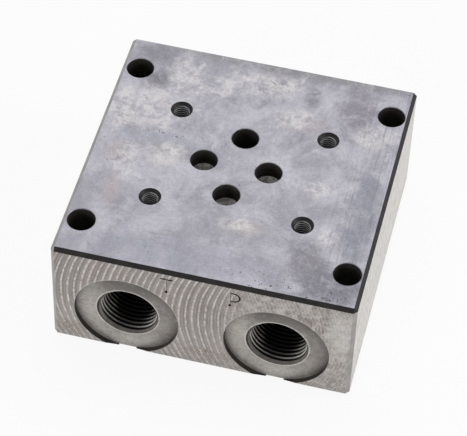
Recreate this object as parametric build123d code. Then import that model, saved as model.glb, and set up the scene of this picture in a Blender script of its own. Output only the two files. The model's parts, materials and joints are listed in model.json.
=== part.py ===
from build123d import *

import math
import os

# Hydraulic manifold block: a one-station subplate for a size 6 directional valve (ISO 4401-03).
# One piece of steel. Millimetres, with the origin at the centre of the underside, X along the
# face of the named ports, Y towards the rear and Z up.

# ---- the bar it is sawn from ----
BLOCK_LENGTH = 80.0             # along X
BLOCK_DEPTH = 80.0              # along Y
BLOCK_HEIGHT = 35.0             # along Z
EDGE_CHAMFER = 1.0              # 45 degrees, on all twelve edges

# ---- mounting holes, right through the corners ----
MOUNT_INSET_X = 5.0             # from the sides to the hole centres
MOUNT_INSET_Y = 11.5            # from the front and rear faces
MOUNT_SPACING_X = BLOCK_LENGTH - 2 * MOUNT_INSET_X
MOUNT_SPACING_Y = BLOCK_DEPTH - 2 * MOUNT_INSET_Y
MOUNT_HOLE_DIAMETER = 7.4

# ---- valve ports in the top face, with P at the front and T at the rear ----
VALVE_LINE_X = -1.07            # the line through P and T, from the middle of the block
VALVE_CENTRE_Y = 0.0            # the line through A and B
P_TO_T = 20.8
A_FROM_LINE = 8.8
B_FROM_LINE = 8.7
VALVE_PORT_DIAMETER = 7.3
VALVE_PORT_DEPTH = 5.3          # straight part of P, A and B
DRILL_POINT_ANGLE = 118.0

# ---- tapped holes that hold the valve, M5 ----
RIGHT_TAPS_FROM_LINE = 21.5
RIGHT_TAPS_PITCH = 31.0
LEFT_TAPS_FROM_LINE = 19.0
LEFT_TAPS_PITCH = 32.5
TAP_DRILL_DIAMETER = 4.2
TAP_DRILL_DEPTH = 11.5
TAP_COUNTERSINK_DIAMETER = 5.95

# ---- threaded side ports, G3/8: P and T in the front face, A and B in the rear face ----
SIDE_PORT_SPACING = BLOCK_LENGTH / 2
SIDE_PORT_HEIGHT = 13.8         # axis above the underside; the spotface runs out over the lower edge
SPOTFACE_DIAMETER = 28.0
SPOTFACE_DEPTH = 1.4
MOUTH_DIAMETER = 16.66          # countersink, as wide as the thread's roots
BORE_DIAMETER = 14.95           # tapping drill
BORE_DEPTH = 17.0               # below the spotface, without the drill point

# ---- slanted galleries, drilled through the mouth of each side port up to its valve port ----
GALLERY_DIAMETER = 6.5
GALLERY_CLEARANCE = 0.4         # between the slanted drill and the tapping bore at the mouth
GALLERY_OVERLAP = 0.6           # how far a gallery's upper side reaches into its valve port

TOOL_LEAD = 2.0                 # how far each cutting tool starts outside the face

VALVE_PORTS = {
    "P": (VALVE_LINE_X, VALVE_CENTRE_Y - P_TO_T / 2),
    "T": (VALVE_LINE_X, VALVE_CENTRE_Y + P_TO_T / 2),
    "A": (VALVE_LINE_X + A_FROM_LINE, VALVE_CENTRE_Y),
    "B": (VALVE_LINE_X - B_FROM_LINE, VALVE_CENTRE_Y),
}

# side of the block in X, and face: -1 is the front, +1 the rear
SIDE_PORTS = {"T": (-1, -1), "P": (1, -1), "A": (1, 1), "B": (-1, 1)}


def drill_point(diameter):
    """Length of the cone that a twist drill leaves."""
    return diameter / 2 / math.tan(math.radians(DRILL_POINT_ANGLE / 2))


def turned(*profile):
    """A cutting tool, revolved about Z from radius and height pairs that start and end on the axis."""
    return revolve(make_face(Plane.XZ * Polyline(*profile, close=True)), Axis.Z)


def drill(diameter, depth, lead=TOOL_LEAD):
    """A twist drill that works downwards from height 0."""
    radius = diameter / 2
    return turned((0, lead), (radius, lead), (radius, -depth), (0, -depth - drill_point(diameter)))


def tap_tool():
    """Countersink and tapping drill of an M5 hole."""
    outer = TAP_COUNTERSINK_DIAMETER / 2
    core = TAP_DRILL_DIAMETER / 2
    return turned(
        (0, TOOL_LEAD),
        (outer, TOOL_LEAD),
        (outer, 0),
        (core, core - outer),
        (core, -TAP_DRILL_DEPTH),
        (0, -TAP_DRILL_DEPTH - drill_point(TAP_DRILL_DIAMETER)),
    )


def side_port_tool():
    """Spotface, countersink and tapping drill of a G3/8 port."""
    spotface = SPOTFACE_DIAMETER / 2
    mouth = MOUTH_DIAMETER / 2
    bore = BORE_DIAMETER / 2
    bore_end = -SPOTFACE_DEPTH - BORE_DEPTH
    return turned(
        (0, TOOL_LEAD),
        (spotface, TOOL_LEAD),
        (spotface, -SPOTFACE_DEPTH),
        (mouth, -SPOTFACE_DEPTH),
        (bore, bore - mouth - SPOTFACE_DEPTH),
        (bore, bore_end),
        (0, bore_end - drill_point(BORE_DIAMETER)),
    )


def side_port_face(side, face):
    """Plane of the port in the front or rear face, with Z out of the block."""
    origin = (side * SIDE_PORT_SPACING / 2, face * BLOCK_DEPTH / 2, SIDE_PORT_HEIGHT)
    return Plane(origin=origin, x_dir=(1, 0, 0), z_dir=(0, face, 0))


def gallery_end(name):
    """Where the middle of the slanted drill stops, by the valve port that it feeds."""
    x, y = VALVE_PORTS[name]
    side, face = SIDE_PORTS[name]
    if name == "T":                             # the T port runs down to meet a level gallery
        return Vector(x, y, SIDE_PORT_HEIGHT)
    height = BLOCK_HEIGHT - VALVE_PORT_DEPTH + GALLERY_OVERLAP - GALLERY_DIAMETER / 2
    if name == "P":                             # comes from the front, and stops at the port's axis
        return Vector(x, y, height)
    along = Vector(x - side * SIDE_PORT_SPACING / 2, y - face * BLOCK_DEPTH / 2, 0).normalized()
    return Vector(x, y, height) + along * (VALVE_PORT_DIAMETER / 2)


def gallery(name):
    """A slanted drilling that enters by the side port's mouth, as far off its axis as it can."""
    side, face = SIDE_PORTS[name]
    end = gallery_end(name)
    mouth_y = face * (BLOCK_DEPTH / 2 - SPOTFACE_DEPTH)
    mouth = Vector(side * SIDE_PORT_SPACING / 2, mouth_y, SIDE_PORT_HEIGHT)
    across = Vector(end.X - mouth.X, 0, end.Z - mouth.Z).normalized()
    offset = (BORE_DIAMETER - GALLERY_DIAMETER) / 2 - GALLERY_CLEARANCE
    start = mouth - across * offset
    run = end - start
    tool = drill(GALLERY_DIAMETER, run.length, lead=0)
    return Plane(origin=start, z_dir=run * -1) * tool


def valve_port(name):
    """P, A and B stop short above their galleries, and T goes down to its own."""
    x, y = VALVE_PORTS[name]
    depth = BLOCK_HEIGHT - SIDE_PORT_HEIGHT if name == "T" else VALVE_PORT_DEPTH
    return Pos(x, y, BLOCK_HEIGHT) * drill(VALVE_PORT_DIAMETER, depth)


def valve_taps():
    """The four M5 holes: the left pair stands wider apart than the right pair."""
    right = VALVE_LINE_X + RIGHT_TAPS_FROM_LINE
    left = VALVE_LINE_X - LEFT_TAPS_FROM_LINE
    places = [(right, RIGHT_TAPS_PITCH), (left, LEFT_TAPS_PITCH)]
    return [
        Pos(x, VALVE_CENTRE_Y + end * pitch / 2, BLOCK_HEIGHT) * tap_tool()
        for x, pitch in places
        for end in (-1, 1)
    ]


def mounting_holes():
    tool = Cylinder(MOUNT_HOLE_DIAMETER / 2, BLOCK_HEIGHT + 2 * TOOL_LEAD)
    return [place * tool for place in
            Pos(0, 0, BLOCK_HEIGHT / 2) * GridLocations(MOUNT_SPACING_X, MOUNT_SPACING_Y, 2, 2)]


def manifold_block():
    base = (Align.CENTER, Align.CENTER, Align.MIN)
    blank = Box(BLOCK_LENGTH, BLOCK_DEPTH, BLOCK_HEIGHT, align=base)
    block = chamfer(blank.edges(), length=EDGE_CHAMFER)
    block -= mounting_holes()
    block -= valve_taps()
    for name, (side, face) in SIDE_PORTS.items():
        block -= side_port_face(side, face) * side_port_tool()
        block -= valve_port(name)
        block -= gallery(name)
    return block


os.makedirs("parts", exist_ok=True)
export_step(manifold_block(), "parts/manifold_block.step")
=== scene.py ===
"""Hydraulic manifold block: threads, stamped port letters and machined finishes on the frame."""
import json
import math

import bpy
from mathutils import Matrix, Vector


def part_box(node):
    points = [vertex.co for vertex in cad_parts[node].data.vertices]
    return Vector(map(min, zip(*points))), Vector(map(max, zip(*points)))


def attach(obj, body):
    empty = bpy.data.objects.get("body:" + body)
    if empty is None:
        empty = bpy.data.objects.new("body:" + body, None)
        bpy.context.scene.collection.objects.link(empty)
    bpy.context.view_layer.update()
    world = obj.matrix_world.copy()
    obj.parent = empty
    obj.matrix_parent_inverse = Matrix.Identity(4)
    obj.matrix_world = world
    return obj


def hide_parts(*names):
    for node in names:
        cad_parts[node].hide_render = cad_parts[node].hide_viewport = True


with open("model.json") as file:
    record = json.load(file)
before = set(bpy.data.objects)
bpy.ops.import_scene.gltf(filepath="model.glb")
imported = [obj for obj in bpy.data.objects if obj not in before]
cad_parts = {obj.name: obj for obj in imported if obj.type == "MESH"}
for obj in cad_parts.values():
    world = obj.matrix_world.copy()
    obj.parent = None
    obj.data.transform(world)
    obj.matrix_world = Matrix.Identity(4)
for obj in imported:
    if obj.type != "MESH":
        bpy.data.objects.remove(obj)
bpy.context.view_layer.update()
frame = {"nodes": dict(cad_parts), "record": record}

MM = 0.001
AT_45 = math.sqrt(0.5)          # part of its normal that a face at 45 degrees has along an axis

# ---------------------------------------------------------------- sizes
LOW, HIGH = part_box("manifold_block")
MOUNTS = {mount["name"]: mount for mount in frame["record"]["mounts"]}
SIDE_PORTS = [MOUNTS[name] for name in MOUNTS if name.startswith("side_port")]
VALVE_TAPS = [MOUNTS[name] for name in MOUNTS if name.startswith("valve_screw")]
VALVE_PORTS = [MOUNTS[name] for name in MOUNTS if name.startswith("valve_port")]
PORT_X, PORT_Z = abs(SIDE_PORTS[0]["pos_m"][0]), SIDE_PORTS[0]["pos_m"][2]
CORNER_X, CORNER_Y = 35 * MM, 28.5 * MM
CORNERS = [(x, y) for x in (-CORNER_X, CORNER_X) for y in (-CORNER_Y, CORNER_Y)]
CORNER_RADIUS = 3.7 * MM

SPOTFACE_RADIUS = 14 * MM
SPOTFACE_DEPTH = 1.4 * MM
CHAMFER = 1.0 * MM

# Threads: pitch, flank angle in degrees, radii at the crests and the roots, width of the root's
# flat as a share of the pitch, depth, and facets to a turn.
PORT_THREAD = {"pitch": 1.337 * MM, "flank": 27.5, "core": 7.475 * MM, "major": 8.30 * MM,
               "root": 0.12, "depth": 14.2 * MM, "steps": 80}
TAP_THREAD = {"pitch": 0.8 * MM, "flank": 30.0, "core": 2.1 * MM, "major": 2.5 * MM,
              "root": 0.12, "depth": 9.6 * MM, "steps": 48}
OVERCUT = 0.12 * MM             # how far a groove tool starts inside the bore's wall

EDGE_BREAK = 0.16 * MM          # width of the broken edge round a hole's mouth
EDGE_BREAK_REACH = 0.3 * MM     # how far its tool goes above and below the face

LETTER_HEIGHT = 5.0 * MM
LETTER_STROKE = 0.54 * MM
LETTER_FOOT_Z = 27.3 * MM
DOT_WIDTH = 1.5                 # of a stroke
STROKE_LIFT = 0.03 * MM         # strokes that meet differ in height, so that none share a plane
STROKE_LIFT_GROWTH = 0.2        # of the lift, from each stroke to the next
ODD_TURN = 0.0191               # keeps a round tool's corners off the corners of the hole it meets
MERGE_DISTANCE = 1e-7
SMOOTH_ANGLE = math.radians(32)


# ---------------------------------------------------------------- modelling helpers
def deselect_all():
    for thing in bpy.context.selected_objects:
        thing.select_set(False)


def activate(thing):
    deselect_all()
    thing.select_set(True)
    bpy.context.view_layer.objects.active = thing


def edit(thing):
    activate(thing)
    bpy.ops.object.mode_set(mode="EDIT")


def settle(thing):
    """Leaves edit mode and puts the piece's place into its mesh."""
    if thing.mode != "OBJECT":
        bpy.ops.object.mode_set(mode="OBJECT")
    activate(thing)
    bpy.ops.object.transform_apply(location=True, rotation=True, scale=True)


def tidy_normals(thing):
    edit(thing)
    bpy.ops.mesh.select_all(action="SELECT")
    bpy.ops.mesh.remove_doubles(threshold=MERGE_DISTANCE)
    bpy.ops.mesh.normals_make_consistent(inside=False)
    bpy.ops.object.mode_set(mode="OBJECT")


def apply_modifier(thing, kind, **settings):
    activate(thing)
    modifier = thing.modifiers.new(kind.lower(), kind)
    for name, value in settings.items():
        setattr(modifier, name, value)
    bpy.ops.object.modifier_apply(modifier=modifier.name)


def cut(thing, tool):
    apply_modifier(thing, "BOOLEAN", operation="DIFFERENCE", solver="EXACT", object=tool)
    bpy.data.objects.remove(tool)


def joined(tools):
    """One object of tools that don't touch each other, so that one cut does for them all."""
    deselect_all()
    for tool in tools:
        tool.select_set(True)
    bpy.context.view_layer.objects.active = tools[0]
    bpy.ops.object.join()
    return tools[0]


def place(thing, matrix):
    thing.data.transform(matrix)
    thing.data.update()


def facing(axis):
    """Turns a tool whose mouth faces +Z so that it faces along the axis."""
    return Vector(axis).to_track_quat("Z", "Y").to_matrix().to_4x4()


# ---------------------------------------------------------------- cutting tools
def groove_tool(thread):
    """A helical groove, point outwards, from a pitch above the mouth to the thread's depth."""
    deselect_all()
    pitch, core, major = thread["pitch"], thread["core"], thread["major"]
    slope = math.tan(math.radians(thread["flank"]))
    inner, root_half = core - OVERCUT, thread["root"] * pitch / 2
    inner_half = root_half + (major - inner) * slope
    bpy.ops.mesh.primitive_plane_add(size=1, rotation=(math.pi / 2, 0, 0))
    tool = bpy.context.object
    settle(tool)
    for vertex in tool.data.vertices:
        outside = vertex.co.x > 0
        half = root_half if outside else inner_half
        vertex.co.z = math.copysign(half, vertex.co.z) - thread["depth"]
        vertex.co.x = major if outside else inner
    turns = math.ceil(thread["depth"] / pitch) + 1
    apply_modifier(tool, "SCREW", axis="Z", angle=math.tau, screw_offset=pitch, iterations=turns,
                   steps=thread["steps"], render_steps=thread["steps"], use_normal_calculate=True)
    edit(tool)
    bpy.ops.mesh.select_mode(type="EDGE")
    bpy.ops.mesh.select_all(action="DESELECT")
    bpy.ops.mesh.select_non_manifold()
    bpy.ops.mesh.fill_holes(sides=8)
    bpy.ops.object.mode_set(mode="OBJECT")
    tidy_normals(tool)
    return tool


def edge_break_tool(radius):
    """A short cone that takes the sharp edge off a hole's mouth at z = 0."""
    deselect_all()
    middle = radius + EDGE_BREAK
    bpy.ops.mesh.primitive_cone_add(vertices=96, radius1=middle - EDGE_BREAK_REACH,
                                    radius2=middle + EDGE_BREAK_REACH,
                                    depth=2 * EDGE_BREAK_REACH,
                                    rotation=(0, 0, ODD_TURN))
    tool = bpy.context.object
    settle(tool)
    return tool


def straight_stroke(start, end, width):
    """A diamond-section groove tool along a line in the XY plane, half of it below z = 0."""
    deselect_all()
    line = Vector((end[0] - start[0], end[1] - start[1], 0))
    turn = line.to_track_quat("Z", "X").to_euler()
    middle = ((start[0] + end[0]) / 2, (start[1] + end[1]) / 2, 0)
    bpy.ops.mesh.primitive_cylinder_add(vertices=4, radius=width / 2, depth=line.length,
                                        location=middle, rotation=turn)
    tool = bpy.context.object
    settle(tool)
    return tool


def round_stroke(centre, radius, width):
    """A diamond-section half ring, bulging to +X."""
    deselect_all()
    bpy.ops.mesh.primitive_torus_add(major_radius=radius, minor_radius=width / 2,
                                     major_segments=48, minor_segments=4,
                                     location=(centre[0], centre[1], 0))
    tool = bpy.context.object
    settle(tool)
    edit(tool)
    bpy.ops.mesh.select_all(action="SELECT")
    bpy.ops.mesh.bisect(plane_co=(centre[0], 0, 0), plane_no=(1, 0, 0), use_fill=True,
                        clear_inner=True)
    bpy.ops.object.mode_set(mode="OBJECT")
    tidy_normals(tool)
    return tool


def dot(centre, width):
    """A round dimple where the stamp's stroke ends."""
    deselect_all()
    bpy.ops.mesh.primitive_uv_sphere_add(segments=24, ring_count=12, radius=width / 2,
                                         location=(centre[0], centre[1], 0))
    tool = bpy.context.object
    settle(tool)
    return tool


# Letters on a grid as high as a letter: lines as (x, y, x, y), bowls as (x, y, radius) and dots
# as (x, y).
LETTERS = {
    "T": {"lines": [(-0.32, 0.98, 0.34, 0.98), (0, 0.98, 0, 0)], "bowls": [], "dots": [(0, 0)]},
    "P": {"lines": [(0, 0, 0, 1), (0, 0.96, 0.2, 0.96), (0, 0.34, 0.2, 0.34)],
          "bowls": [(0.2, 0.65, 0.31)], "dots": [(0, 0)]},
    "A": {"lines": [(-0.32, 0, 0, 1), (0, 1, 0.32, 0), (-0.2, 0.36, 0.2, 0.36)], "bowls": [],
          "dots": [(-0.32, 0), (0.32, 0)]},
    "B": {"lines": [(0, 0, 0, 1), (0, 0.98, 0.2, 0.98), (0, 0.51, 0.2, 0.51),
                    (0, 0.04, 0.2, 0.04)],
          "bowls": [(0.2, 0.745, 0.235), (0.2, 0.275, 0.235)], "dots": [(0, 0)]},
}


def stamp(thing, letter, matrix):
    """Cuts a letter into a face: the matrix puts the letter's foot, facing +Z, on that face."""
    size, parts = LETTER_HEIGHT, LETTERS[letter]
    tools = [straight_stroke((a * size, b * size), (c * size, d * size), LETTER_STROKE)
             for a, b, c, d in parts["lines"]]
    tools += [round_stroke((x * size, y * size), r * size, LETTER_STROKE)
              for x, y, r in parts["bowls"]]
    tools += [dot((x * size, y * size), DOT_WIDTH * LETTER_STROKE) for x, y in parts["dots"]]
    for order, tool in enumerate(tools):
        lift = STROKE_LIFT * (1 + STROKE_LIFT_GROWTH * order)
        place(tool, matrix @ Matrix.Translation((0, 0, lift)))
        cut(thing, tool)


# ---------------------------------------------------------------- the block
node = frame["nodes"]["manifold_block"]
block = bpy.data.objects.new("block", node.data.copy())
bpy.context.scene.collection.objects.link(block)
activate(block)
bpy.ops.mesh.customdata_custom_splitnormals_clear()
tidy_normals(block)

TOP_Z = HIGH.z
FRONT_FACE = Matrix.Translation((0, LOW.y, 0)) @ Matrix.Rotation(math.pi / 2, 4, "X")
REAR_FACE = Matrix.Rotation(math.pi, 4, "Z") @ FRONT_FACE
# Letter, its face, and the place of its foot along that face as its reader sees it.
for letter, face, across in (("T", FRONT_FACE, -9.3 * MM), ("P", FRONT_FACE, 7.4 * MM),
                             ("A", REAR_FACE, -8.4 * MM), ("B", REAR_FACE, 7.4 * MM)):
    stamp(block, letter, face @ Matrix.Translation((across, LETTER_FOOT_Z, 0)))

edge_breaks = []
for x, y in CORNERS:
    for z, turn in ((TOP_Z, Matrix()), (0.0, Matrix.Rotation(math.pi, 4, "X"))):
        edge_breaks.append(edge_break_tool(CORNER_RADIUS))
        place(edge_breaks[-1], Matrix.Translation((x, y, z)) @ turn)
for port in VALVE_PORTS:
    edge_breaks.append(edge_break_tool(port["dims"]["r_mm"] * MM))
    place(edge_breaks[-1], Matrix.Translation((port["pos_m"][0], port["pos_m"][1], TOP_Z)))
cut(block, joined(edge_breaks))

grooves = []
for port in SIDE_PORTS:
    x, y, z = port["pos_m"]
    face_y = math.copysign(HIGH.y - SPOTFACE_DEPTH, y)
    grooves.append(groove_tool(PORT_THREAD))
    place(grooves[-1], Matrix.Translation((x, face_y, z)) @ facing(port["axis"]))
for tap in VALVE_TAPS:
    grooves.append(groove_tool(TAP_THREAD))
    place(grooves[-1], Matrix.Translation((tap["pos_m"][0], tap["pos_m"][1], TOP_Z)))
cut(block, joined(grooves))

activate(block)
bpy.ops.object.shade_smooth_by_angle(angle=SMOOTH_ANGLE)


# ---------------------------------------------------------------- shader maths
class Sock:
    """A socket that Python's operators work on; an expression adds its nodes to the tree."""

    def __init__(self, tree, socket):
        self.tree, self.socket = tree, socket

    def _math(self, operation, *values, clamp=False):
        return add(self.tree, "ShaderNodeMath", {"operation": operation, "use_clamp": clamp},
                   values)

    def __add__(self, other): return self._math("ADD", self, other)
    def __radd__(self, other): return self._math("ADD", other, self)
    def __sub__(self, other): return self._math("SUBTRACT", self, other)
    def __rsub__(self, other): return self._math("SUBTRACT", other, self)
    def __mul__(self, other): return self._math("MULTIPLY", self, other)
    def __rmul__(self, other): return self._math("MULTIPLY", other, self)
    def __truediv__(self, other): return self._math("DIVIDE", self, other)
    def __pow__(self, other): return self._math("POWER", self, other)
    def __abs__(self): return self._math("ABSOLUTE", self)
    def low(self, other): return self._math("MINIMUM", self, other)
    def high(self, other): return self._math("MAXIMUM", self, other)
    def sqrt(self): return self._math("SQRT", self)
    def fraction(self): return self._math("FRACT", self)
    def floor(self): return self._math("FLOOR", self)
    def clip(self): return self._math("ADD", self, 0.0, clamp=True)

    def step(self, start, end):
        """0 at start and before, 1 at end and after, smooth between; start may be the larger."""
        return add(self.tree, "ShaderNodeMapRange",
                   {"interpolation_type": "SMOOTHSTEP", "clamp": True},
                   {"Value": self, "From Min": start, "From Max": end, "To Min": 0.0,
                    "To Max": 1.0})


def add(tree, kind, settings, values, output=0):
    """Adds one node, its settings first, then its sockets' values or links; returns an output."""
    made = tree.nodes.new(kind)
    for name, value in settings.items():
        setattr(made, name, value)
    pairs = values.items() if isinstance(values, dict) else enumerate(values)
    for name, value in pairs:
        socket = made.inputs[name]
        if isinstance(value, Sock):
            tree.links.new(value.socket, socket)
        else:
            socket.default_value = value
    return Sock(tree, made.outputs[output]) if made.outputs else None


def srgb(red, green, blue):
    """A colour given as 0 to 255 screen values, in the linear values that shaders use."""
    def linear(value):
        value /= 255
        return value / 12.92 if value <= 0.04045 else ((value + 0.055) / 1.055) ** 2.4
    return (linear(red), linear(green), linear(blue), 1.0)


PATCH_INSIDE, PATCH_OUTSIDE = 0.45, 1.35    # of a patch's half size: full up to, gone from
BUMP_HEIGHT = 0.02 * MM


class Finish:
    """One material: object coordinates in millimetres, noises and mixes, and the steel shader."""

    def __init__(self, name):
        self.material = bpy.data.materials.new(name)
        self.material.use_nodes = True
        self.tree = self.material.node_tree
        self.tree.nodes.clear()
        place = add(self.tree, "ShaderNodeTexCoord", {}, {}, "Object")
        self.place = self.vector("SCALE", place, {"Scale": 1 / MM})
        self.x, self.y, self.z = (add(self.tree, "ShaderNodeSeparateXYZ", {}, [self.place], axis)
                                  for axis in "XYZ")

    def vector(self, operation, first, rest):
        return add(self.tree, "ShaderNodeVectorMath", {"operation": operation}, {0: first, **rest})

    def join(self, x, y, z):
        return add(self.tree, "ShaderNodeCombineXYZ", {}, [x, y, z])

    def noise(self, size, detail=3.0, rough=0.55, stretch=(1, 1, 1), shift=(0, 0, 0),
              turn=0.0, distortion=0.0, source=None):
        """Noise of features about `size` millimetres, longer along an axis by its stretch."""
        mapped = add(self.tree, "ShaderNodeMapping", {"vector_type": "TEXTURE"},
                     {"Vector": source or self.place, "Location": shift, "Rotation": (0, 0, turn),
                      "Scale": stretch})
        return add(self.tree, "ShaderNodeTexNoise", {}, {
            "Vector": mapped, "Scale": 1 / size, "Detail": detail, "Roughness": rough,
            "Distortion": distortion})

    def mix(self, factor, first, second):
        """Colour mix: the first colour where the factor is 0, the second where it is 1."""
        return add(self.tree, "ShaderNodeMix",
                   {"data_type": "RGBA", "blend_type": "MIX", "clamp_factor": True},
                   {0: factor, 6: first, 7: second}, 2)

    def patch(self, u, v, centre, size, edge, turn=0.0):
        """A soft oval patch: 1 inside, 0 outside, its rim moved by the edge noise."""
        cosine, sine = math.cos(turn), math.sin(turn)
        du, dv = u - centre[0], v - centre[1]
        along, across = du * cosine + dv * sine, dv * cosine - du * sine
        reach = ((along / size[0]) ** 2 + (across / size[1]) ** 2).sqrt() + edge
        return reach.step(PATCH_OUTSIDE, PATCH_INSIDE)

    def side(self):
        """1 on the front half of the block, -1 on the rear half."""
        return self.y.step(0.001, -0.001) * 2.0 - 1.0

    def finish(self, colour, roughness, height, strength, metallic, sheen=0.5):
        """The shader: sheen is the strength of its plain gloss, strength that of its relief."""
        bump = add(self.tree, "ShaderNodeBump", {},
                   {"Strength": strength, "Distance": BUMP_HEIGHT, "Height": height})
        shader = add(self.tree, "ShaderNodeBsdfPrincipled", {}, {
            "Base Color": colour, "Roughness": roughness, "Metallic": metallic,
            "Normal": bump, "Specular IOR Level": sheen})
        add(self.tree, "ShaderNodeOutputMaterial", {}, {"Surface": shader})
        return self.material


def radial(u, v, centre):
    """Distance in millimetres from a hole's axis."""
    return ((u - centre[0]) ** 2 + (v - centre[1]) ** 2).sqrt()


def from_side_port(m):
    """Distance from the nearest side port's axis."""
    return radial(abs(m.x), m.z, (PORT_X / MM, PORT_Z / MM))


def from_valve_tap(m):
    """Distance from the nearest of the four valve taps' axes."""
    away = [radial(m.x, m.y, (tap["pos_m"][0] / MM, tap["pos_m"][1] / MM)) for tap in VALVE_TAPS]
    return away[0].low(away[1]).low(away[2].low(away[3]))


def side_port_depth(m):
    """Depth below the spotface, counted up to 2.2 times along the bottom, which is made darker."""
    below = (PORT_Z / MM - m.z) / from_side_port(m)
    return ((HIGH.y - SPOTFACE_DEPTH) / MM - abs(m.y)) * (1 + below.step(0.70, 0.97) * 1.2)


def top_hole_depth(m):
    return TOP_Z / MM - m.z


# ---------------------------------------------------------------- finishes
# Lengths in the finishes are in millimetres.
# Tones are painted by place where these finishes say so, as light and shade under one light would
# lie: on the spotfaces and their walls, down the holes and on the tapped holes' mouths, in the
# threads, on the letters and on the chamfers.
# Lighter clouds on the ground face: centre, half sizes in millimetres, and turn in radians.
LIGHT_CLOUDS = [
    ((-28.0, 15.5), (8.5, 8.0), 0.2),
    ((-29.5, -5.0), (3.8, 6.0), 0.1),
    ((-22.0, 29.5), (4.6, 7.5), -0.2),
    ((-19.5, -0.5), (5.0, 4.4), 0.3),
    ((33.0, 19.5), (6.4, 4.4), 0.3),
    ((10.5, 21.0), (5.4, 3.6), 0.2),
    ((21.0, -2.5), (4.0, 2.6), 0.0),
    ((27.5, -18.0), (2.8, 3.4), 0.0),
    ((1.0, 31.0), (9.0, 4.5), 0.1),
    ((-36.0, 12.0), (3.0, 8.0), 0.0),
    ((4.0, -19.5), (5.0, 2.0), 0.1),
    ((-12.0, 27.0), (5.0, 4.0), 0.6),
]
# Darker and lighter patches: centre, half sizes, turn, tint, and how strongly it covers.
TONE_PATCHES = [
    ((-20.0, -0.5), (5.2, 4.6), 0.2, (196, 188, 178), 0.5),
    ((6.5, -20.0), (5.8, 2.4), 0.1, (198, 184, 174), 0.42),
    ((-30.5, -16.0), (2.4, 6.5), 0.15, (184, 166, 168), 0.5),
    ((14.0, 19.0), (4.8, 3.2), 0.2, (192, 178, 182), 0.45),
    ((-33.0, -3.0), (3.0, 3.4), 0.0, (190, 170, 164), 0.4),
    ((26.0, 29.0), (5.4, 8.5), 0.1, (126, 119, 130), 0.9),
    ((13.0, 29.5), (2.6, 4.6), 0.1, (122, 119, 128), 0.9),
    ((2.0, 33.5), (4.0, 3.0), 0.1, (134, 132, 138), 0.7),
    ((-33.0, 34.0), (7.0, 4.2), 0.4, (122, 121, 128), 0.85),
    ((-29.0, 25.5), (4.4, 3.6), 0.4, (112, 111, 117), 1.0),
    ((4.0, 38.2), (36.0, 2.2), 0.0, (120, 119, 118), 0.75),
    ((34.5, -8.0), (3.6, 19.0), 0.0, (126, 128, 140), 0.85),
    ((24.5, -28.0), (5.0, 9.0), 0.3, (124, 121, 126), 1.0),
    ((33.0, -33.0), (9.0, 6.5), 0.2, (112, 111, 119), 1.0),
    ((-24.0, 4.5), (15.5, 2.2), 0.0, (168, 169, 183), 0.6),
    ((-8.0, -34.0), (28.0, 6.0), 0.0, (148, 148, 161), 0.7),
    ((-36.5, -25.0), (2.6, 10.0), 0.0, (146, 146, 156), 0.5),
]


def ground_face():
    """The ground top and underside: cloudy blue-grey with pits and fine grinding lines.
    The large light and dark patches are laid by place, the same on both."""
    m = Finish("ground_face")
    ragged = (m.noise(5.0, detail=6, rough=0.72) - 0.5) * 1.9
    clouds = m.noise(12.0, detail=6, rough=0.68, distortion=0.5)
    drift = m.noise(7.0, detail=6, rough=0.7, distortion=0.8, shift=(31, 7, 0))
    frost = m.noise(2.6, detail=6, rough=0.74, distortion=0.5)
    fine = m.noise(0.85, detail=4, rough=0.8)
    grain = m.noise(0.32, detail=2, rough=0.8)
    lines = m.noise(0.4, detail=3, rough=0.75, stretch=(1, 34, 1))
    scores = m.noise(0.7, detail=2, rough=0.6, stretch=(1, 60, 1), turn=0.5)
    colour = m.mix(clouds.step(0.36, 0.64), srgb(152, 151, 160), srgb(186, 184, 193))
    colour = m.mix(drift.step(0.54, 0.68) * 0.6, colour, srgb(136, 134, 143))
    cover = 0.0
    for centre, size, turn in LIGHT_CLOUDS:
        cover = m.patch(m.x, m.y, centre, size, ragged, turn) + cover
    cover = (cover + drift.step(0.48, 0.34) * 0.55 * m.y.step(-24.0, -8.0)).clip()
    for centre, size, turn, tint, amount in TONE_PATCHES:
        patch = m.patch(m.x, m.y, centre, size, ragged, turn)
        patch = patch * amount * (0.3 + frost.step(0.30, 0.62) * 0.75)
        colour = m.mix(patch, colour, srgb(*tint))
    colour = m.mix(cover * frost.step(0.36, 0.60) * 0.9, colour, srgb(216, 212, 212))
    colour = m.mix(frost.step(0.5, 0.7) * 0.2, colour, srgb(196, 194, 200))
    colour = m.mix(frost.step(0.45, 0.3) * 0.2, colour, srgb(128, 126, 135))
    colour = m.mix(fine.step(0.5, 0.72) * 0.28, colour, srgb(122, 120, 131))
    colour = m.mix(fine.step(0.46, 0.28) * 0.28, colour, srgb(220, 218, 222))
    colour = m.mix(grain.step(0.4, 0.75) * 0.28, colour, srgb(118, 117, 128))
    right_side = m.x.step(22.0, 34.0)
    colour = m.mix(lines.step(0.48, 0.72) * (0.12 + right_side * 0.5), colour, srgb(104, 105, 118))
    colour = m.mix(scores.step(0.63, 0.7) * 0.10, colour, srgb(204, 203, 208))
    pits = m.noise(0.62, detail=1, rough=0.5).step(0.64, 0.70)
    seam = abs(m.y - 6.4 + m.x * 0.01).step(1.3, 0.3) * m.x.step(-9.0, -14.0)
    edge = m.x.step(2.0, 14.0) * m.y.step(-31.0, -35.5)
    scattered = m.noise(6.0, detail=2, shift=(5, 40, 0)).step(0.58, 0.7)
    dark = pits * (seam.high(edge) + scattered * 0.5 + 0.08).clip()
    colour = m.mix(dark * 0.85, colour, srgb(64, 60, 66))
    roughness = 0.40 + frost * 0.14 + cover * 0.05
    height = grain * 0.4 + lines * 0.5 + frost * 0.3 - dark * 2.5
    return m.finish(colour, roughness, height, 0.3, metallic=0.3)


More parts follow.
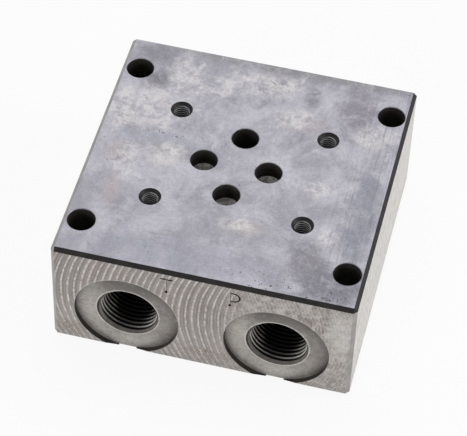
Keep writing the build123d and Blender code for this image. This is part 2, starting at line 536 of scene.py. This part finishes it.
MILL_RADIUS = 36.0              # of the face mill that passed over the front and rear
MILL_FEED = 1.75                # between its arcs
MILL_HEIGHT = 19.5              # of its centre above the underside
MILL_START = 0.625              # where the first arc lies
RIM_LINE = 0.15                 # how far outside a spotface the light line above it lies


def milled_face():
    """The front and rear: a face mill's arcs, crossed by its trailing edge to the right.
    Painted shade: lighter towards the lower edge, and a light line above each spotface."""
    m = Finish("milled_face")
    side = m.side()
    u = m.x * side
    wobble = (m.noise(8.0, detail=3) - 0.5) * 0.5
    rise = m.z - MILL_HEIGHT
    sag = (MILL_RADIUS ** 2 - rise ** 2).sqrt()
    arc = (u + sag + wobble + MILL_START) / MILL_FEED
    phase, number = arc.fraction(), arc.floor()
    each = add(m.tree, "ShaderNodeTexWhiteNoise", {"noise_dimensions": "1D"}, {"W": number},
               "Value")
    speckle = m.noise(0.3, detail=3, rough=0.8)
    mottle = m.noise(1.5, detail=5, rough=0.75, distortion=0.5)
    broad = m.noise(9.0, detail=4, rough=0.65)
    drag = add(m.tree, "ShaderNodeTexNoise", {"noise_dimensions": "2D"}, {
        "Vector": m.join(arc * 5.5, rise * 0.16, 0.0), "Scale": 1.0, "Detail": 3.0,
        "Roughness": 0.7})
    line = abs(phase - 0.5).step(0.20 + each * 0.06, 0.04)
    second = abs(phase - 0.02 - each * 0.2).step(0.12, 0.03)
    regular = u.step(16.0, 0.0)
    band = m.mix(each, srgb(138, 131, 127), srgb(158, 148, 145))
    band = m.mix(broad.step(0.35, 0.7) * 0.6, band, srgb(158, 153, 148))
    band = m.mix(drag.step(0.35, 0.65) * 0.5, band, srgb(118, 110, 106))
    chatter = m.noise(0.6, detail=4, rough=0.75, stretch=(3, 1, 1))
    worn = 0.15 + mottle.step(0.34, 0.58) * chatter.step(0.34, 0.54) * 0.95
    colour = m.mix(line * worn * (0.2 + regular * 0.8), band, srgb(222, 216, 212))
    colour = m.mix(second * worn * 0.4, colour, srgb(190, 182, 178))
    trail = (u - sag + wobble * 2.0) / (MILL_FEED * 0.55)
    crossing = abs(trail.fraction() - 0.5).step(0.32, 0.08)
    colour = m.mix(crossing * (1 - regular * 0.85) * worn * 0.5, colour, srgb(204, 198, 192))
    dapple = m.noise(2.4, detail=6, rough=0.72, distortion=0.7, shift=(3, 0, 9))
    bright = (1 - regular) * dapple.step(0.44, 0.64)
    colour = m.mix(bright * 0.6, colour, srgb(214, 209, 203))
    colour = m.mix((1 - regular) * dapple.step(0.46, 0.30) * 0.65, colour, srgb(112, 104, 98))
    colour = m.mix((1 - regular) * mottle.step(0.42, 0.3) * 0.4, colour, srgb(122, 114, 108))
    rubbed_corner = m.patch(u, m.z, (36.5, 25.0), (3.5, 9.0), wobble)
    colour = m.mix(rubbed_corner * (0.25 + mottle * 0.6), colour, srgb(214, 210, 206))
    colour = m.mix(chatter.step(0.54, 0.70) * 0.3, colour, srgb(104, 96, 92))
    colour = m.mix(chatter.step(0.44, 0.28) * 0.3, colour, srgb(208, 202, 197))
    colour = m.mix(speckle.step(0.52, 0.72) * 0.46, colour, srgb(92, 84, 80))
    colour = m.mix(speckle.step(0.42, 0.28) * 0.35, colour, srgb(218, 212, 207))
    low_strip = m.z.step(10.0, 4.0)
    colour = m.mix(m.z.step(20.0, 7.0) * (0.1 + mottle * 0.25), colour, srgb(202, 196, 189))
    rust = m.noise(1.0, detail=4, rough=0.75).step(0.46, 0.66)
    stained = m.patch(u, m.z, (-35.5, 5.5), (5.0, 2.4), wobble).high(
        m.patch(u, m.z, (3.0, 6.0), (8.5, 1.8), wobble))
    colour = m.mix(stained * rust * 0.85, colour, srgb(138, 108, 78))
    colour = m.mix(low_strip * speckle.step(0.48, 0.62) * 0.5, colour, srgb(88, 80, 75))
    pits = m.noise(0.45, detail=3, rough=0.6).step(0.70, 0.75)
    colour = m.mix(pits * 0.8, colour, srgb(62, 56, 53))
    line_radius = SPOTFACE_RADIUS / MM + RIM_LINE
    for x in (-PORT_X / MM, PORT_X / MM):
        rim = abs(radial(m.x * side, m.z, (x, PORT_Z / MM)) - line_radius).step(0.3, 0.05)
        colour = m.mix(rim * m.z.step(10.0, 22.0) * 0.3, colour, srgb(212, 207, 202))
    roughness = 0.40 + mottle * 0.14
    height = line * 0.5 * regular + drag * 0.5 - speckle * 0.4 - pits
    return m.finish(colour, roughness, height, 0.35, metallic=0.3)


def milled_side():
    """The left and right sides: bright, with fine slanting streaks."""
    m = Finish("milled_side")
    streaks = m.noise(0.5, detail=3, rough=0.7, stretch=(1, 1, 14),
                      source=m.join(m.x, m.y + m.z * 0.45, m.z))
    broad = m.noise(6.0, detail=3)
    grain = m.noise(0.3, detail=2, rough=0.8)
    colour = m.mix(broad.step(0.35, 0.7), srgb(214, 210, 204), srgb(224, 221, 216))
    colour = m.mix(streaks.step(0.42, 0.62) * 0.8, colour, srgb(178, 173, 166))
    colour = m.mix(streaks.step(0.4, 0.3) * 0.5, colour, srgb(228, 226, 222))
    colour = m.mix(grain.step(0.5, 0.8) * 0.4, colour, srgb(160, 154, 148))
    return m.finish(colour, 0.4 + broad * 0.1, streaks * 0.6 + grain * 0.4, 0.25, metallic=0.3)


def edge_chamfer(name, dark, light, worn):
    """A milled edge: an even tone with a grain of a second one."""
    m = Finish(name)
    grain = m.noise(0.4, detail=3, rough=0.7)
    broad = m.noise(5.0, detail=3)
    colour = m.mix(broad.step(0.3, 0.7), srgb(*dark), srgb(*light))
    colour = m.mix(grain.step(0.5, 0.75) * 0.4, colour, srgb(*worn))
    return m.finish(colour, 0.42 + grain * 0.1, grain, 0.2, metallic=0.2, sheen=0.15)


# Brighter rubbed spots on the spotfaces: centre, half sizes, and how strongly each shows.
RUBBED = [
    ((9.2, 17.0), (1.3, 1.6), 0.8),
    ((29.5, 9.0), (2.0, 2.4), 0.35),
    ((-9.6, 12.0), (2.0, 3.4), 0.3),
    ((-31.0, 15.0), (2.0, 4.0), 0.4),
    ((-20.0, 2.5), (3.0, 1.6), 0.4),
]
MOUTH_RING = 8.5                # radius of the light ring round a side port's mouth


def spotface_finish():
    """Turned spotfaces round the side ports: faint rings, mottle and pits.
    Painted shade: dark to the outer edge, the top and the right, light to the left and bottom."""
    m = Finish("spotface")
    away = from_side_port(m)
    ragged = (m.noise(1.6, detail=4) - 0.5) * 0.9
    broad = m.noise(6.0, detail=4, rough=0.6)
    grain = m.noise(0.35, detail=3, rough=0.75)
    rings = add(m.tree, "ShaderNodeTexNoise", {"noise_dimensions": "1D"},
                {"W": away, "Scale": 2.4, "Detail": 4.0, "Roughness": 0.7})
    colour = m.mix(broad.step(0.3, 0.7), srgb(146, 141, 136), srgb(176, 170, 164))
    colour = m.mix(rings.step(0.4, 0.7) * 0.35, colour, srgb(190, 185, 179))
    for centre, size, amount in RUBBED:
        rubbed = m.patch(m.x, m.z, centre, size, ragged)
        colour = m.mix(rubbed * amount, colour, srgb(190, 182, 168))
    colour = m.mix(away.step(10.4, 14.0) * 0.75, colour, srgb(70, 66, 63))
    across = (m.x - (m.x.step(-1.0, 1.0) * 2.0 - 1.0) * (PORT_X / MM)) * m.side()
    colour = m.mix(m.z.step(16.0, 25.0) * 0.75, colour, srgb(68, 64, 61))
    colour = m.mix(across.step(3.0, 12.0) * 0.45, colour, srgb(96, 91, 87))
    colour = m.mix(across.step(-4.0, -10.0) * 0.38, colour, srgb(198, 193, 186))
    colour = m.mix(m.z.step(7.5, 1.5) * 0.4, colour, srgb(206, 203, 198))
    colour = m.mix(abs(away - MOUTH_RING).step(0.22, 0.08) * 0.8, colour, srgb(216, 212, 206))
    mottle = m.noise(1.3, detail=5, rough=0.75, distortion=0.5)
    colour = m.mix(mottle.step(0.48, 0.66) * 0.4, colour, srgb(94, 89, 86))
    colour = m.mix(mottle.step(0.44, 0.30) * 0.3, colour, srgb(206, 202, 197))
    colour = m.mix(grain.step(0.45, 0.75) * 0.4, colour, srgb(92, 88, 85))
    pits = m.noise(0.5, detail=3, rough=0.6).step(0.64, 0.70)
    colour = m.mix(pits * 0.8, colour, srgb(58, 54, 52))
    return m.finish(colour, 0.36 + grain * 0.12, rings * 0.6 + grain * 0.4, 0.2, metallic=0.4)


# Painted shade: the near black down a hole and in a thread's roots.
DEEP_BLACK = srgb(20, 20, 17)
ROOT_BLACK = srgb(20, 19, 17)
BLACKENING = 0.92               # how far a hole's depth and a thread's roots take those blacks


def shop_steel(name, dark, light, worn, metallic, stretch=(1, 1, 1), depth=None, reach=None,
               size=0.4, sheen=0.3, valley=None):
    """Plain cut steel: two tones in soft clouds with a fine grain.
    Painted shade: near black down a hole, fully so at the depth that reach gives, and in a
    thread's roots, where valley gives the distance and the two values it runs between."""
    m = Finish(name)
    grain = m.noise(size, detail=3, rough=0.75, stretch=stretch)
    broad = m.noise(3.0, detail=3)
    colour = m.mix(broad.step(0.3, 0.7), srgb(*dark), srgb(*light))
    colour = m.mix(grain.step(0.42, 0.68) * 0.6, colour, srgb(*worn))
    if valley:
        away, start, end = valley
        colour = m.mix(away(m).step(start, end) * BLACKENING, colour, ROOT_BLACK)
    if depth:
        colour = m.mix(depth(m).step(0.5, reach) * BLACKENING, colour, DEEP_BLACK)
    return m.finish(colour, 0.34 + grain * 0.14, grain, 0.2, metallic=metallic, sheen=sheen)


FINISHES = {
    "ground": ground_face(),
    "milled": milled_face(),
    "side": milled_side(),
    # Painted reflection: the top chamfers, but the left one, are near black, as a dark surround
    # mirrored in them; the other chamfers are pale.
    "dark_edge": edge_chamfer("dark_edge", (45, 43, 43), (56, 54, 53), (78, 76, 75)),
    "pale_edge": edge_chamfer("pale_edge", (156, 152, 149), (176, 172, 169), (122, 118, 115)),
    "spotface": spotface_finish(),
    # Painted shade: the spotfaces' walls are dark.
    "spotface_wall": shop_steel("spotface_wall", (56, 52, 49), (76, 71, 67), (40, 37, 35), 0.2),
    "mouth": shop_steel("mouth_bevel", (104, 99, 95), (126, 121, 116), (82, 78, 74), 0.3),
    "rim": shop_steel("rim_bevel", (140, 139, 145), (168, 167, 173), (104, 103, 108), 0.3),
    "bore": shop_steel("bored_wall", (70, 68, 64), (90, 87, 82), (34, 33, 30), 0.4,
                       stretch=(40, 40, 1), depth=top_hole_depth, reach=13.0),
    "drill_point": shop_steel("drill_point", (112, 110, 106), (182, 179, 174), (36, 34, 31), 0.3,
                              size=0.8),
    # Painted highlight: the thread flanks and crests of the side ports are near white.
    "thread": shop_steel("thread_flank", (206, 202, 196), (230, 226, 220), (160, 156, 151), 0.9,
                         depth=side_port_depth, reach=11.0, valley=(from_side_port, 7.50, 7.78)),
    "crest": shop_steel("thread_crest", (216, 212, 206), (236, 232, 226), (160, 156, 152), 0.6,
                        depth=side_port_depth, reach=11.0),
    "tap_flank": shop_steel("tap_flank", (150, 149, 152), (178, 177, 180), (104, 103, 106), 0.8,
                            sheen=0.15, depth=top_hole_depth, reach=9.0,
                            valley=(from_valve_tap, 2.10, 2.22)),
    # Painted highlight: the crests of the tapped holes are near white.
    "tap_crest": shop_steel("tap_crest", (232, 230, 230), (246, 245, 245), (170, 169, 169), 0.4,
                            depth=top_hole_depth, reach=10.0),
    # Painted shade: the countersunk mouths of the tapped holes are near black.
    "tap_mouth": shop_steel("tap_mouth", (36, 35, 37), (50, 49, 51), (24, 23, 24), 0.3,
                            sheen=0.15),
    # Painted shade: the letters' grooves and dots, but the upright stems' walls, are near black.
    "stroke": shop_steel("stamped_stroke", (30, 26, 24), (44, 39, 36), (20, 17, 15), 0.1,
                         sheen=0.1),
    # Painted light and shade: the wall of an upright stem that faces one way is painted lit, the
    # other shaded.
    "stem_lit": shop_steel("stem_lit", (204, 198, 193), (226, 221, 217), (170, 164, 160), 0.3),
    "stem_shaded": shop_steel("stem_shaded", (118, 112, 108), (142, 135, 131), (88, 82, 79), 0.2,
                           sheen=0.1),
}
SLOT_OF = {name: index for index, name in enumerate(FINISHES)}


# Where one finish gives way to the next.
NEAR = 0.02 * MM                # for a face whose place is known
WALL_NEAR = 0.2 * MM            # for the facets of a round wall
MOUTH_RADIUS, MOUTH_DEPTH = 7.40 * MM, 0.95 * MM    # of a side port's bevel: least radius, depth
THREAD_INSIDE, THREAD_OUTSIDE = 7.20 * MM, 8.34 * MM    # a side port's thread lies between
THREAD_DEPTH = 16 * MM
CREST_RADIUS = 7.50 * MM        # its crests lie within this
TAP_RADIUS, TAP_DEPTH = 3.0 * MM, 12 * MM           # a tapped hole lies within these
TAP_MOUTH_DEPTH = 0.9 * MM
TAP_CREST_RADIUS = 2.13 * MM
POINT_RADIUS = 3.7 * MM         # a drill point lies within this of a valve port's axis
POINT_LOW, POINT_DEPTH = 20 * MM, 5 * MM            # above the one, below the top by the other
RIM_INSET = 0.1 * MM            # keeps the broken edges of holes apart from the chamfers
LETTER_DEPTH = 0.5 * MM
FLAT, SLANTED = 0.999, 0.9      # a normal's largest part: above the one on a flat face, below
                                # the other on a chamfer
ALONG_AXIS, ALONG_LETTER = 0.05, 0.02               # a normal's part up to this counts as none
BEVEL_NEAR = 0.02               # for a bevel's normal


def near(value, target, margin=NEAR):
    return abs(value - target) < margin


def side_port_region(centre, normal):
    """The finish of a face in or on a side port's spotface, or None elsewhere."""
    for port in SIDE_PORTS:
        px, py, pz = port["pos_m"]
        away = math.hypot(centre.x - px, centre.z - pz)
        depth = HIGH.y - abs(centre.y) - SPOTFACE_DEPTH
        if centre.y * py < 0 or away > SPOTFACE_RADIUS + NEAR:
            continue
        if near(depth, 0):
            return "spotface"
        if depth < 0 and near(away, SPOTFACE_RADIUS, WALL_NEAR):
            return "spotface_wall"
        bevelled = near(abs(normal.y), AT_45, BEVEL_NEAR)
        if 0 < depth < MOUTH_DEPTH and bevelled and away > MOUTH_RADIUS:
            return "mouth"
        if THREAD_INSIDE < away < THREAD_OUTSIDE and 0 < depth < THREAD_DEPTH:
            return "crest" if away < CREST_RADIUS and abs(normal.y) < ALONG_AXIS else "thread"
    return None


def top_hole_region(centre, normal):
    """The finish of a face in a tapped hole or at a valve port's drill point, or None."""
    for tap in VALVE_TAPS:
        away = math.hypot(centre.x - tap["pos_m"][0], centre.y - tap["pos_m"][1])
        if away < TAP_RADIUS and centre.z > TOP_Z - TAP_DEPTH:
            bevelled = near(abs(normal.z), AT_45, BEVEL_NEAR)
            if centre.z > TOP_Z - TAP_MOUTH_DEPTH and bevelled:
                return "tap_mouth"
            crest = away < TAP_CREST_RADIUS and abs(normal.z) < ALONG_AXIS
            return "tap_crest" if crest else "tap_flank"
    for port in VALVE_PORTS:
        away = math.hypot(centre.x - port["pos_m"][0], centre.y - port["pos_m"][1])
        inside = away < POINT_RADIUS and POINT_LOW < centre.z < TOP_Z - POINT_DEPTH
        if inside and abs(normal.z) > 0.3:
            return "drill_point"
    return None


def edge_region(centre, normal):
    """The finish of a broken edge, a chamfer or a letter's wall, or None.
    Painted shade: chamfers and the walls of upright stems differ by the way they look."""
    x, y, z = abs(centre.x), abs(centre.y), centre.z
    inner_x, inner_y = HIGH.x - CHAMFER - RIM_INSET, HIGH.y - CHAMFER - RIM_INSET
    if (near(z, TOP_Z, EDGE_BREAK) or near(z, 0, EDGE_BREAK)) and x < inner_x and y < inner_y:
        return "rim"
    gaps = (HIGH.x - x, HIGH.y - y, min(z, TOP_Z - z))
    on_edge = sum(gap < CHAMFER + 0.01 * MM for gap in gaps) >= 2
    if on_edge and max(map(abs, normal)) < SLANTED:
        return "dark_edge" if normal.z > 0.5 and normal.x > -0.5 else "pale_edge"
    if near(y, HIGH.y, LETTER_DEPTH):
        if abs(normal.z) > ALONG_LETTER or abs(normal.x) < 0.5:
            return "stroke"
        return "stem_lit" if normal.x * centre.y < 0 else "stem_shaded"
    return None


def region(centre, normal):
    """Which finish a face has, from where it is and which way it looks."""
    if max(map(abs, normal)) > FLAT:
        if near(centre.z, TOP_Z) or near(centre.z, 0):
            return "ground"
        if near(abs(centre.y), HIGH.y):
            return "milled"
        if near(abs(centre.x), HIGH.x):
            return "side"
    return (side_port_region(centre, normal) or top_hole_region(centre, normal)
            or edge_region(centre, normal) or "bore")


block.data.materials.clear()
for material in FINISHES.values():
    block.data.materials.append(material)
for polygon in block.data.polygons:
    polygon.material_index = SLOT_OF[region(polygon.center, polygon.normal)]
block.data.update()

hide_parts("manifold_block")
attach(block, "root")


# ---------------------------------------------------------------- floor, light and camera
FLOOR_SIZE = 3.0
FLOOR_WHITE = 0.9               # share of the floor that shows as plain white, the rest is shaded
ROOM_LIGHT = 0.42
LAMP_AIM = Vector((0, 0, 0.02))

deselect_all()
bpy.ops.mesh.primitive_grid_add(x_subdivisions=4, y_subdivisions=4, size=FLOOR_SIZE,
                                location=(0, 0, 0))
floor = bpy.context.object
floor.name = "floor"
settle(floor)


def seen_directly(tree):
    """1 for rays that show the background itself, in the picture, in gloss and through glass."""
    path = [add(tree, "ShaderNodeLightPath", {}, {}, f"Is {kind} Ray")
            for kind in ("Camera", "Glossy", "Transmission")]
    return path[0].high(path[1]).high(path[2])


paper = bpy.data.materials.new("paper")
paper.use_nodes = True
tree = paper.node_tree
tree.nodes.clear()
matte = add(tree, "ShaderNodeBsdfDiffuse", {}, {"Color": (0.9, 0.9, 0.9, 1.0)})
white = add(tree, "ShaderNodeEmission", {}, {"Color": (1, 1, 1, 1), "Strength": 1.0})
blend = add(tree, "ShaderNodeMixShader", {},
            {0: seen_directly(tree) * FLOOR_WHITE, 1: matte, 2: white})
add(tree, "ShaderNodeOutputMaterial", {}, {"Surface": blend})
floor.data.materials.append(paper)

world = bpy.data.worlds.new("studio")
bpy.context.scene.world = world
world.use_nodes = True
tree = world.node_tree
tree.nodes.clear()
room = add(tree, "ShaderNodeBackground", {},
           {"Color": (0.96, 0.97, 1.0, 1), "Strength": ROOM_LIGHT})
blank = add(tree, "ShaderNodeBackground", {}, {"Color": (1, 1, 1, 1), "Strength": 1.0})
shown = add(tree, "ShaderNodeMixShader", {}, {0: seen_directly(tree), 1: room, 2: blank})
add(tree, "ShaderNodeOutputWorld", {}, {"Surface": shown})


def lamp(name, position, size, power, in_gloss=True):
    """A soft white lamp that looks at the block; out of gloss, it doesn't show in the metal."""
    data = bpy.data.lights.new(name, "AREA")
    data.shape, data.size, data.size_y = "RECTANGLE", size[0], size[1]
    data.energy = power
    thing = bpy.data.objects.new(name, data)
    thing.location = position
    thing.rotation_euler = (LAMP_AIM - Vector(position)).to_track_quat("-Z", "Y").to_euler()
    thing.visible_glossy = in_gloss
    bpy.context.scene.collection.objects.link(thing)


lamp("overhead", (-0.15, 0.35, 0.75), (0.8, 0.6), 2.0)
lamp("right", (0.7, 0.1, 0.4), (0.5, 0.5), 2.4)
lamp("front", (-0.25, -0.8, 0.22), (0.7, 0.35), 3.2, in_gloss=False)

# A dark card behind the camera, as in a studio, so that edges and threads have something dark to
# mirror. The camera itself doesn't see it.
CARD_WIDTH, CARD_HEIGHT = 2.4, 1.0
deselect_all()
bpy.ops.mesh.primitive_grid_add(x_subdivisions=4, y_subdivisions=4, size=1.0,
                                location=(0, -1.0, 0.52), rotation=(math.pi / 2, 0, 0))
card = bpy.context.object
card.name = "dark_card"
card.scale = (CARD_WIDTH, CARD_HEIGHT, 1.0)
settle(card)
card.visible_camera = False
felt = Finish("felt")
felt_tone = felt.mix(felt.noise(4.0), (0.012, 0.012, 0.012, 1), (0.02, 0.02, 0.02, 1))
card.data.materials.append(felt.finish(felt_tone, 0.9, felt.noise(2.0), 0.1, metallic=0.0,
                                       sheen=0.0))

CAMERA_AZIMUTH = math.radians(12.217)
CAMERA_ELEVATION = math.radians(48.707)
CAMERA_ROLL = math.radians(-2.283)
CAMERA_AIM = Vector((2.67, -17.77, 35.0)) * MM
CAMERA_DISTANCE = 587.46 * MM
CAMERA_SENSOR, CAMERA_LENS = 36.0, 175.72
forward = Vector((-math.sin(CAMERA_AZIMUTH) * math.cos(CAMERA_ELEVATION),
                  math.cos(CAMERA_AZIMUTH) * math.cos(CAMERA_ELEVATION),
                  -math.sin(CAMERA_ELEVATION)))
level = Vector((math.cos(CAMERA_AZIMUTH), math.sin(CAMERA_AZIMUTH), 0))
up = level.cross(forward) * math.cos(CAMERA_ROLL) + level * math.sin(CAMERA_ROLL)
right = forward.cross(up)
camera = bpy.data.objects.new("camera", bpy.data.cameras.new("camera"))
camera.data.sensor_fit, camera.data.sensor_width = "HORIZONTAL", CAMERA_SENSOR
camera.data.lens = CAMERA_LENS
camera.data.clip_start, camera.data.clip_end = 0.01, 20.0
camera.matrix_world = Matrix.Translation(CAMERA_AIM - forward * CAMERA_DISTANCE) @ Matrix(
    (right, up, -forward)).transposed().to_4x4()
bpy.context.scene.collection.objects.link(camera)
bpy.context.scene.camera = camera
bpy.context.scene.view_settings.view_transform = "Standard"
